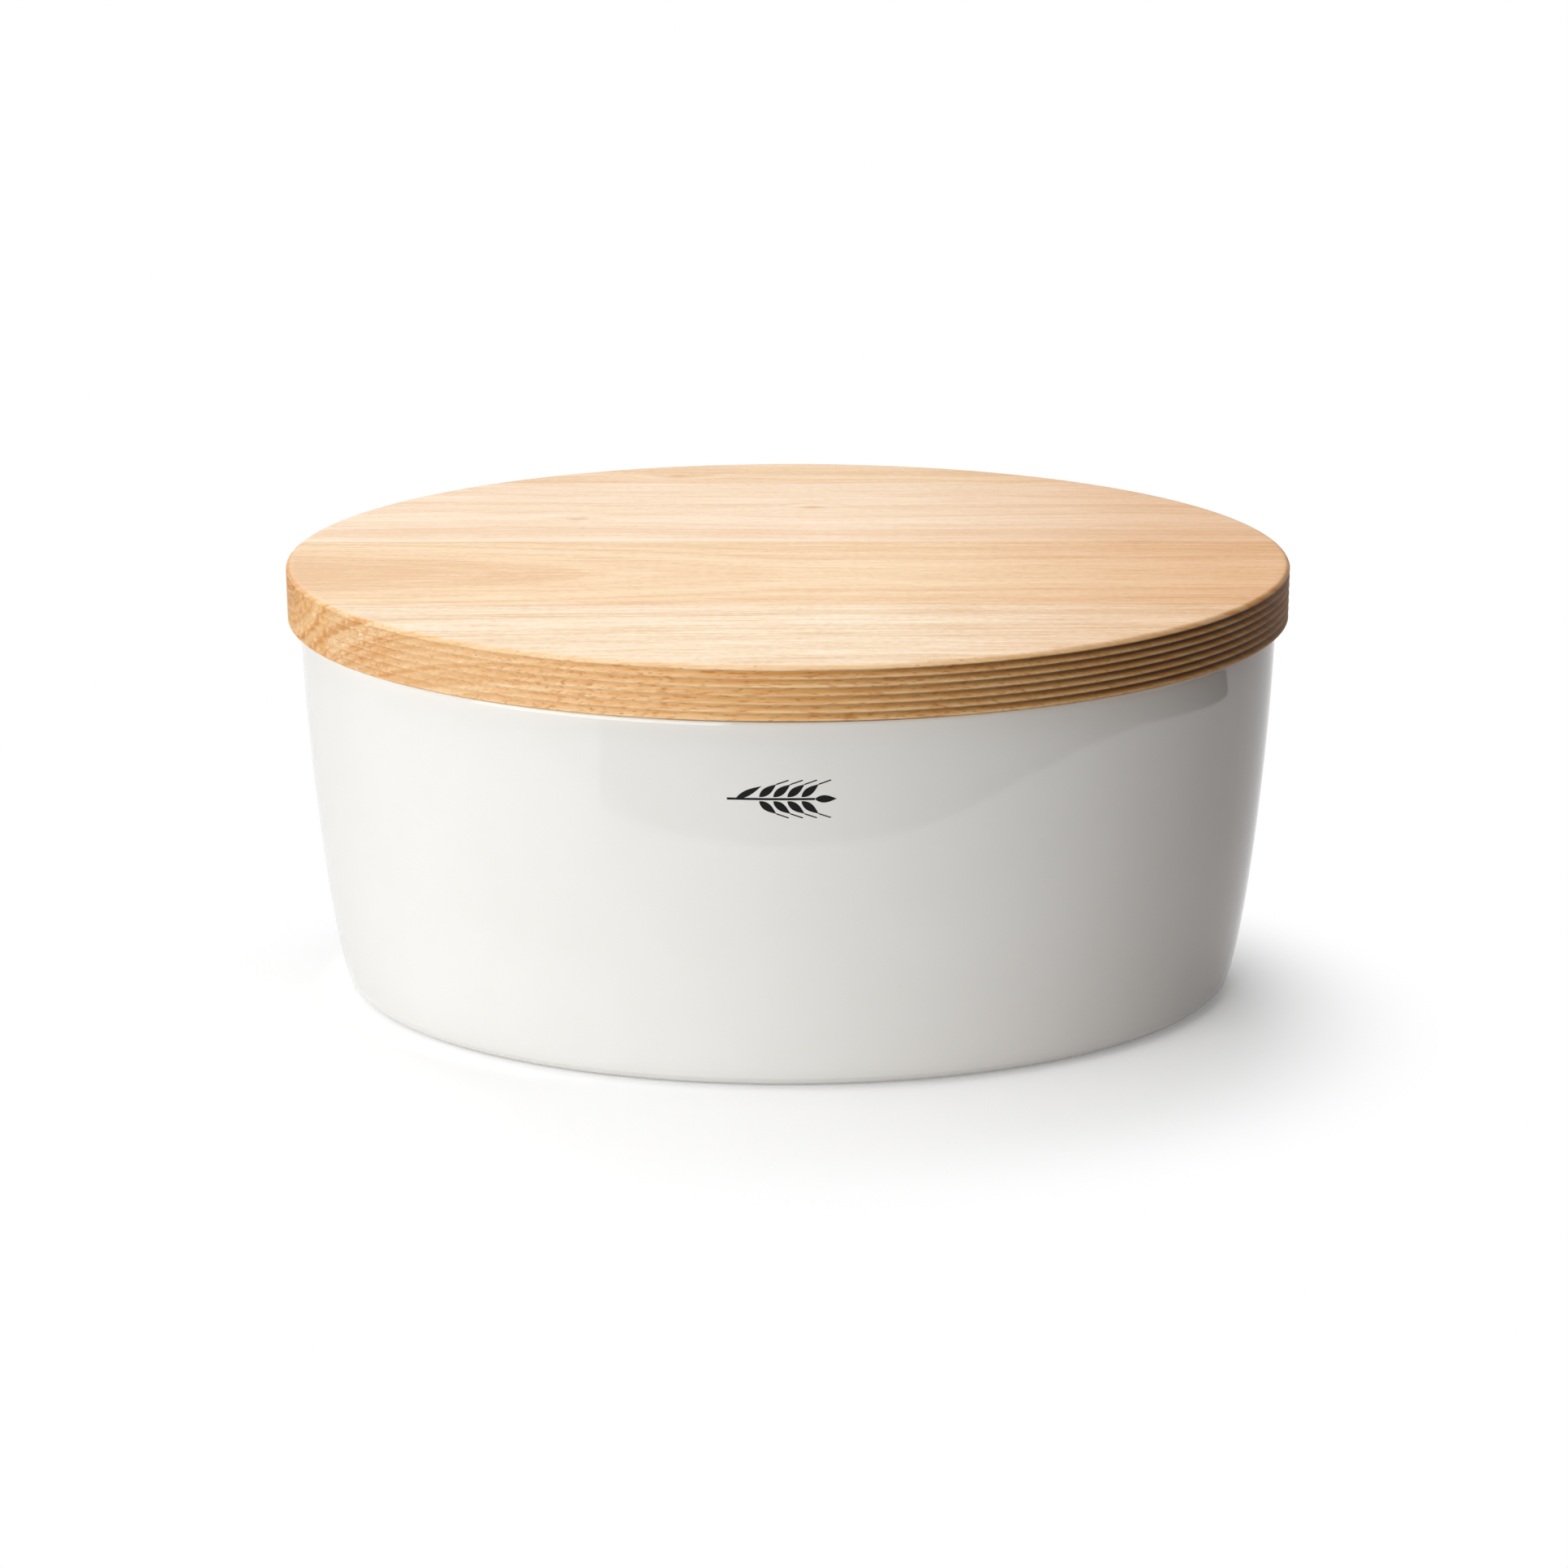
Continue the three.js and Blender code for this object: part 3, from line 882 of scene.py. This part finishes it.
def chip_tints(tree, at):
    """Masks and tint of small square chips, torn out of the flutes by cutting against the grain."""
    ragged = add(tree, "ShaderNodeTexNoise", {"Vector": at.place, "Scale": 1 / CHIP_LENGTH, "Detail": 2.0})
    along = add(tree, "ShaderNodeMath", {0: ragged, 1: CHIP_SCATTER, 2: at.x}, operation="MULTIPLY_ADD")
    up = add(tree, "ShaderNodeMath", {0: ragged, 1: CHIP_RISE, 2: at.flute_height}, operation="MULTIPLY_ADD")
    scattered = add(tree, "ShaderNodeCombineXYZ", {"X": along, "Y": up})
    chips = add(tree, "ShaderNodeTexBrick", {
        "Vector": scattered, "Scale": 1.0, "Brick Width": CHIP_LENGTH, "Row Height": FLUTE_PITCH,
        "Mortar Size": CHIP_GAP, "Mortar Smooth": 1.0, "Mortar": linear(CHIP_GAP_TINT),
        "Color1": linear(CHIP_TINTS[0]), "Color2": linear(CHIP_TINTS[1]),
    })
    half_length = LID_LENGTH / 2
    begun = add(tree, "ShaderNodeMapRange", {
        "Value": at.x, "From Min": -CRUMB_SPAN[1] * half_length, "From Max": -CRUMB_SPAN[0] * half_length,
        "To Min": 1.0, "To Max": 0.0,
    }, interpolation_type="SMOOTHSTEP")
    ended = add(tree, "ShaderNodeMapRange", {
        "Value": at.x, "From Min": -RUN_OUT_SPAN[1] * half_length, "From Max": -RUN_OUT_SPAN[0] * half_length,
        "To Max": CHIP_SHARE,
    }, interpolation_type="SMOOTHSTEP")
    in_front = add(tree, "ShaderNodeMapRange", {
        "Value": at.y, "From Min": -CRUMB_FRONT, "From Max": 0.0, "To Min": 1.0, "To Max": 0.0,
    })
    return [((begun, ended, in_front, at.edge), chips)]


def dash_tints(tree, at, relief):
    """Masks and tint of the brown dashes of vessels that the cutter laid open lengthways on the edge."""
    slits = add(tree, "ShaderNodeVectorMath", {0: at.place, 1: per_mm(DASH_SIZE)}, operation="MULTIPLY")
    slit = add(tree, "ShaderNodeTexNoise", {"Vector": slits, "Scale": 1.0, "Detail": 3.0})
    dash = add(tree, "ShaderNodeMapRange", {
        "Value": slit, "From Min": DASH_SPAN[0], "From Max": DASH_SPAN[1], "To Max": DASH_SHARE,
    })
    return [((dash, relief, at.fluted_edge), linear(DASH_BROWN))]


def tinted(tree, wood, tints):
    """Colour of the wood under its tints, one on another, each as strong as all of its masks at once."""
    for masks, tint in tints:
        share = masks[0]
        for mask in masks[1:]:
            share = add(tree, "ShaderNodeMath", {0: share, 1: mask}, operation="MULTIPLY")
        wood = add(tree, "ShaderNodeMix", {
            MIX_SHARE: share, MIX_FIRST: wood, MIX_SECOND: tint,
        }, MIX_OUT, data_type="RGBA", blend_type="MULTIPLY")
    return wood


def vessel_pores(tree, at, relief):
    """How much a point lies in the bore of a vessel. Some bores are deeper than others, by chance."""
    vessels = add(tree, "ShaderNodeVectorMath", {0: at.place, 1: per_mm(VESSEL_SIZE)}, operation="MULTIPLY")
    vessel = add(tree, "ShaderNodeTexVoronoi", {"Vector": vessels, "Scale": 1.0}).node.outputs
    bore = add(tree, "ShaderNodeMapRange", {
        "Value": vessel["Distance"], "From Min": BORE_SPAN[0], "From Max": BORE_SPAN[1],
        "To Min": 1.0, "To Max": 0.0,
    }, interpolation_type="SMOOTHSTEP")
    chance = add(tree, "ShaderNodeSeparateXYZ", {0: vessel["Color"]}, "X")
    likely = add(tree, "ShaderNodeMath", {0: bore, 1: chance}, operation="MULTIPLY")
    return add(tree, "ShaderNodeMath", {0: likely, 1: relief}, operation="MULTIPLY")


def oiled_rubberwood(name, pale, tan, pith, rise, sway, heart, eyes):
    """Sawn rubberwood under a satin oil: straw to tan growth bands, straight fibre, and short brown pores.
    The bands are shells round the pith of the tree, so one solid pattern gives straight lines, a cathedral
    or end grain, by how the stave was sawn. The cut edge and end grain drink more oil and turn honey brown."""
    material, tree = new_material(name)
    at = lid_surface(tree)
    ring, knot = growth_rings(tree, at, pith, rise, sway, eyes)
    figure = wood_figure(tree, at, ring, heart)
    wood = add(tree, "ShaderNodeMix", {
        MIX_SHARE: figure.depth, MIX_FIRST: linear(pale), MIX_SECOND: linear(tan),
    }, MIX_OUT, data_type="RGBA")
    if eyes:
        wood = add(tree, "ShaderNodeMix", {
            MIX_SHARE: knot, MIX_FIRST: wood, MIX_SECOND: linear(KNOT_BROWN),
        }, MIX_OUT, data_type="RGBA")
    wood = tinted(tree, wood, [
        *oil_and_shade_tints(tree, at, figure.tone),
        *painted_shade_tints(tree, at),
        *end_grain_tints(tree, at, figure.fine),
        *chip_tints(tree, at),
        *dash_tints(tree, at, figure.relief),
    ])

    # Pores stand open on the cut edge, and the sanded faces have most of theirs filled.
    pore = vessel_pores(tree, at, figure.relief)
    open_pore = add(tree, "ShaderNodeMapRange", {"Value": at.edge, "To Min": FLAT_PORE, "To Max": EDGE_PORE})
    stain = add(tree, "ShaderNodeMath", {0: pore, 1: open_pore}, operation="MULTIPLY")
    colour = add(tree, "ShaderNodeMix", {
        MIX_SHARE: stain, MIX_FIRST: wood, MIX_SECOND: linear(PORE_BROWN),
    }, MIX_OUT, data_type="RGBA")

    roughness = add(tree, "ShaderNodeMapRange", {
        "Value": figure.fibre, "To Min": WOOD_ROUGHNESS[0], "To Max": WOOD_ROUGHNESS[1],
    })
    grain = add(tree, "ShaderNodeBump", {
        "Height": figure.fibre, "Strength": figure.relief, "Distance": FIBRE_DEPTH * MM,
    })
    surface = add(tree, "ShaderNodeBump", {
        "Height": pore, "Normal": grain, "Strength": 1.0, "Distance": PORE_DEPTH * MM,
    }, invert=True)
    shader = add(tree, "ShaderNodeBsdfPrincipled", {
        "Base Color": colour, "Roughness": roughness, "Normal": surface,
        "IOR": GLOSS_IOR, "Specular IOR Level": WOOD_SPECULAR,
    })
    add(tree, "ShaderNodeOutputMaterial", {"Surface": shader})
    return material


def black_printed_enamel():
    """Black enamel, screen printed on the glaze and fired into it: an opaque, even black, duller than the
    glaze and a little uneven where the screen laid it thin."""
    material, tree = new_material("black_printed_enamel")
    place = place_in_mm(tree)
    thin = add(tree, "ShaderNodeTexNoise", {"Vector": place, "Scale": 1 / ENAMEL_SPOT, "Detail": 2.0})
    colour = add(tree, "ShaderNodeMix", {
        MIX_SHARE: thin, MIX_FIRST: linear(ENAMEL_BLACKS[0]), MIX_SECOND: linear(ENAMEL_BLACKS[1]),
    }, MIX_OUT, data_type="RGBA")
    roughness = add(tree, "ShaderNodeMapRange", {
        "Value": thin, "To Min": ENAMEL_ROUGHNESS[0], "To Max": ENAMEL_ROUGHNESS[1],
    })
    film = add(tree, "ShaderNodeBump", {"Height": thin, "Strength": 1.0, "Distance": ENAMEL_DEPTH * MM})
    shader = add(tree, "ShaderNodeBsdfPrincipled", {
        "Base Color": colour, "Roughness": roughness, "Normal": film,
        "IOR": GLOSS_IOR, "Specular IOR Level": ENAMEL_SPECULAR,
    })
    add(tree, "ShaderNodeOutputMaterial", {"Surface": shader})
    return material


# The stage


def aimed(place, target, roll=0.0):
    """Matrix of a camera or lamp at a place that looks at a target, both in millimetres."""
    turn = (target - place).to_track_quat("-Z", "Y").to_matrix().to_4x4()
    return Matrix.Translation(place * MM) @ turn @ Matrix.Rotation(roll, 4, "Z")


def direction(azimuth, elevation):
    """The unit vector towards a place round to the right of the front by azimuth, and up by elevation."""
    level = math.cos(elevation)
    return Vector((math.sin(azimuth) * level, -math.cos(azimuth) * level, math.sin(elevation)))


def make_camera():
    """The camera at the photographed viewing angle."""
    data = bpy.data.cameras.new("camera")
    data.sensor_width = SENSOR_WIDTH
    data.lens = LENS
    camera = bpy.data.objects.new("camera", data)
    place = CAMERA_TARGET + CAMERA_DISTANCE * direction(CAMERA_AZIMUTH, CAMERA_ELEVATION)
    camera.matrix_world = aimed(place, CAMERA_TARGET, CAMERA_ROLL)
    bpy.context.scene.collection.objects.link(camera)
    bpy.context.scene.camera = camera


def softbox(name, azimuth, elevation, distance, size, power):
    """A square diffused lamp that faces the crock."""
    data = bpy.data.lights.new(name, "AREA")
    data.size = size * MM
    data.energy = power
    lamp = bpy.data.objects.new(name, data)
    place = LAMP_TARGET + distance * direction(math.radians(azimuth), math.radians(elevation))
    lamp.matrix_world = aimed(place, LAMP_TARGET)
    bpy.context.scene.collection.objects.link(lamp)


def seen_directly(tree):
    """1 for a ray from the camera, by a reflection or through glass too, and 0 for the light itself."""
    rays = add(tree, "ShaderNodeLightPath", {}).node.outputs
    mirrored = add(tree, "ShaderNodeMath", {
        0: rays["Is Glossy Ray"], 1: rays["Is Transmission Ray"],
    }, operation="MAXIMUM")
    return add(tree, "ShaderNodeMath", {0: rays["Is Camera Ray"], 1: mirrored}, operation="MAXIMUM")


def make_world():
    """A white room: plain white to look at, with a dim light on the crock that falls off to the right."""
    world = bpy.data.worlds.new("white_room")
    world.use_nodes = True
    tree = world.node_tree
    tree.nodes.clear()
    towards = add(tree, "ShaderNodeTexCoord", {}, "Generated")
    side = add(tree, "ShaderNodeSeparateXYZ", {0: towards}, "X")
    ambient = add(tree, "ShaderNodeMapRange", {
        "Value": side, "From Min": -1.0, "To Min": AMBIENT_LEFT, "To Max": AMBIENT_RIGHT,
    })
    strength = add(tree, "ShaderNodeMath", {0: seen_directly(tree), 1: ambient}, operation="MAXIMUM")
    room = add(tree, "ShaderNodeBackground", {"Color": linear(WHITE), "Strength": strength})
    add(tree, "ShaderNodeOutputWorld", {"Surface": room})
    bpy.context.scene.world = world


def table_shader(tree):
    """White paint that keeps the crock's soft shadow, and is seen as plain white further away."""
    place = place_in_mm(tree)
    seen = seen_directly(tree)
    side = add(tree, "ShaderNodeSeparateXYZ", {0: place}, "X")
    dim = add(tree, "ShaderNodeMapRange", {
        "Value": side, "From Min": FLOOR_DIM_SPAN[0], "From Max": FLOOR_DIM_SPAN[1],
    }, interpolation_type="SMOOTHSTEP")
    bounce = add(tree, "ShaderNodeMix", {
        MIX_SHARE: dim, MIX_FIRST: linear(FLOOR_BOUNCE_LEFT), MIX_SECOND: linear(FLOOR_BOUNCE_RIGHT),
    }, MIX_OUT, data_type="RGBA")
    tint = add(tree, "ShaderNodeMix", {
        MIX_SHARE: seen, MIX_FIRST: bounce, MIX_SECOND: linear(FLOOR_WHITE),
    }, MIX_OUT, data_type="RGBA")
    paint = add(tree, "ShaderNodeBsdfDiffuse", {"Color": tint})

    # Painted light that lifts the contact shadow beside the heel at the left, seen only, throwing no light.
    foot_length = RIM_LENGTH - 2 * FOOT_OUTSIDE
    foot_width = RIM_WIDTH - 2 * FOOT_OUTSIDE
    foot_oval = add(tree, "ShaderNodeVectorMath", {
        0: place, 1: (2 / foot_length, 2 / foot_width, 0),
    }, operation="MULTIPLY")
    from_foot = add(tree, "ShaderNodeVectorMath", {0: foot_oval}, "Value", operation="LENGTH")
    outside = add(tree, "ShaderNodeMapRange", {
        "Value": from_foot, "From Min": HEEL_GLOW_START[0], "From Max": HEEL_GLOW_START[1],
    })
    close = add(tree, "ShaderNodeMapRange", {
        "Value": from_foot, "From Min": HEEL_GLOW_END[0], "From Max": HEEL_GLOW_END[1],
        "To Min": 1.0, "To Max": 0.0,
    }, interpolation_type="SMOOTHSTEP")
    beside_heel = add(tree, "ShaderNodeMath", {0: outside, 1: close}, operation="MULTIPLY")
    heel_glow = add(tree, "ShaderNodeMapRange", {
        "Value": side, "From Min": HEEL_GLOW_SPAN[0], "From Max": HEEL_GLOW_SPAN[1],
        "To Min": HEEL_GLOW_LEFT, "To Max": 0.0,
    })
    glowing = add(tree, "ShaderNodeMath", {
        0: beside_heel, 1: heel_glow, 2: FLOOR_GLOW,
    }, operation="MULTIPLY_ADD")
    lift = add(tree, "ShaderNodeMath", {0: seen, 1: glowing}, operation="MULTIPLY")
    glow = add(tree, "ShaderNodeEmission", {"Color": linear(WHITE), "Strength": lift})
    near = add(tree, "ShaderNodeAddShader", {0: paint, 1: glow})

    aside = add(tree, "ShaderNodeVectorMath", {0: place, 1: SHADOW_MIDDLE}, operation="SUBTRACT")
    lid_oval = add(tree, "ShaderNodeVectorMath", {
        0: aside, 1: (2 / LID_LENGTH, 2 / LID_WIDTH, 0),
    }, operation="MULTIPLY")
    away = add(tree, "ShaderNodeVectorMath", {0: lid_oval}, "Value", operation="LENGTH")
    out_of_shadow = add(tree, "ShaderNodeMapRange", {
        "Value": away, "From Min": SHADOW_REACH[0], "From Max": SHADOW_REACH[1],
    }, interpolation_type="SMOOTHSTEP")
    plain = add(tree, "ShaderNodeEmission", {"Color": linear(WHITE), "Strength": 1.0})
    plain_share = add(tree, "ShaderNodeMath", {0: out_of_shadow, 1: seen}, operation="MULTIPLY")
    return add(tree, "ShaderNodeMixShader", {0: plain_share, 1: near, 2: plain})


def make_floor():
    """A white table top under the crock."""
    material, tree = new_material("white_table_top")
    add(tree, "ShaderNodeOutputMaterial", {"Surface": table_shader(tree)})
    mesh = bpy.data.meshes.new("table_top")
    half = FLOOR_HALF * MM
    corners = [(-half, -half, 0), (half, -half, 0), (half, half, 0), (-half, half, 0)]
    mesh.from_pydata(corners, [], [(0, 1, 2, 3)])
    mesh.materials.append(material)
    floor = bpy.data.objects.new("table_top", mesh)
    bpy.context.scene.collection.objects.link(floor)


def make_card():
    """A dark card that lies on the table, as in a studio. The glaze mirrors its edge, and hardly any light
    comes back from the table there. The camera doesn't see it, and it casts no shadow."""
    material, tree = new_material("dark_card")
    paper = add(tree, "ShaderNodeEmission", {"Color": linear(WHITE), "Strength": CARD_LEVEL})
    add(tree, "ShaderNodeOutputMaterial", {"Surface": paper})
    corners = [CARD_LEFT_END, CARD_CORNER_START]
    corners.extend(bezier(CARD_CORNER_START, CARD_CORNER, CARD_CORNER_END, steps=CARD_STEPS))
    corners.append(CARD_RIGHT_END)
    corners.extend(CARD_FAR)
    mesh = bpy.data.meshes.new("dark_card")
    mesh.from_pydata([(x * MM, y * MM, CARD_LIFT * MM) for x, y in corners], [], [tuple(range(len(corners)))])
    mesh.materials.append(material)
    card = bpy.data.objects.new("dark_card", mesh)
    card.visible_camera = False
    card.visible_transmission = False
    card.visible_shadow = False
    bpy.context.scene.collection.objects.link(card)


# The dressed part


def dress():
    """Every piece in its place, on its body, standing for its node."""
    bowl = crock_piece(white_glazed_stoneware())
    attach(bowl, "crock")
    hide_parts("crock_body")

    ear = wheat_print(black_printed_enamel())
    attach(ear, "crock")

    board = lid_board()
    joint_room = (GLUE_ROOM - GLUE_FILM) / 2
    for node_name, growth in STAVES.items():
        near, far = ((corner / MM).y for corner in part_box(node_name))
        slot = node_name.replace("lid_stave", "rubberwood")
        wood = oiled_rubberwood(slot, **growth)
        stave = stave_piece(board, slot + "_stave", near - joint_room, far + joint_room, wood)
        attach(stave, "lid")
        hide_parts(node_name)
    board.free()


make_camera()
make_world()
make_floor()
make_card()
for lamp_name, lamp_settings in LAMPS.items():
    softbox(lamp_name, **lamp_settings)
dress()

bpy.context.scene.view_settings.view_transform = "Standard"
